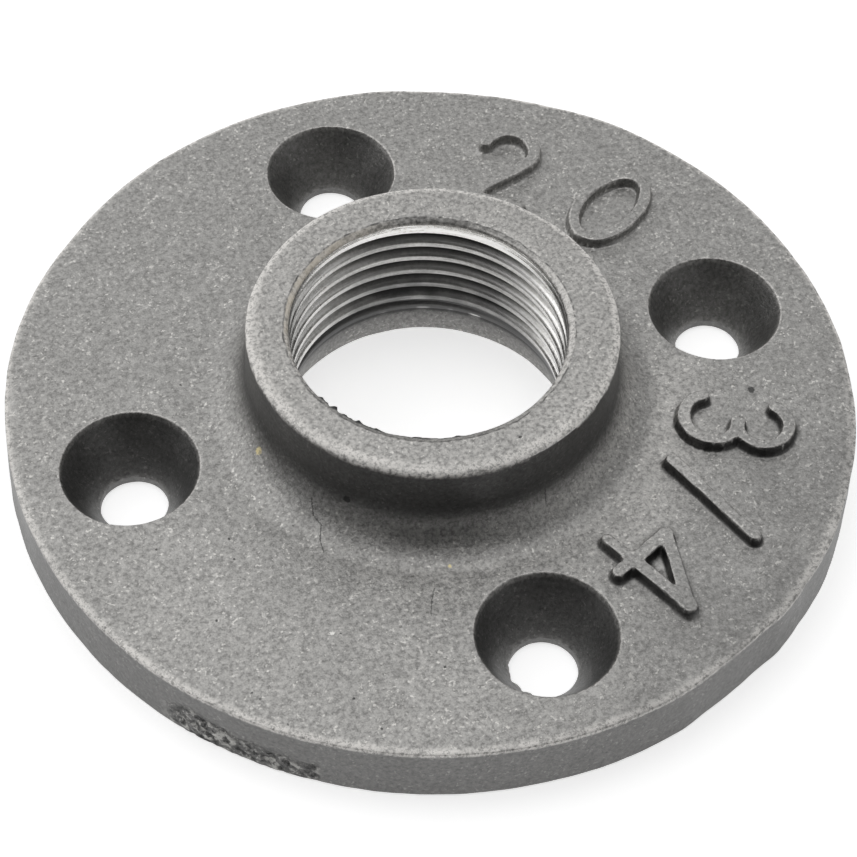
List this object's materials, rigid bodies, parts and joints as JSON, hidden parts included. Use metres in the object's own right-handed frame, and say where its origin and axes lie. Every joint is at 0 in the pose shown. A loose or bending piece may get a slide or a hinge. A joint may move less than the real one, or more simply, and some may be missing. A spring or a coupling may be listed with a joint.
{
  "type": "threaded floor flange",
  "caption": "Round cast flange with a short threaded hub in its middle and countersunk screw holes, for fixing a pipe end to a floor or wall.",
  "frame": {"origin": "centre of the plate's back face, on the axis of the bore", "axes": "+Z along the axis of the bore, from the back face towards the hub's end face; +X and +Y each through the centre of a screw hole"},
  "size_m": [0.076, 0.076, 0.0148],
  "materials": {
    "cast_iron": "tumbled raw casting, matte dark grey with worn edges"
  },
  "bodies": {
    "root": {"floor_flange": "cast_iron"}
  },
  "joints": []
}
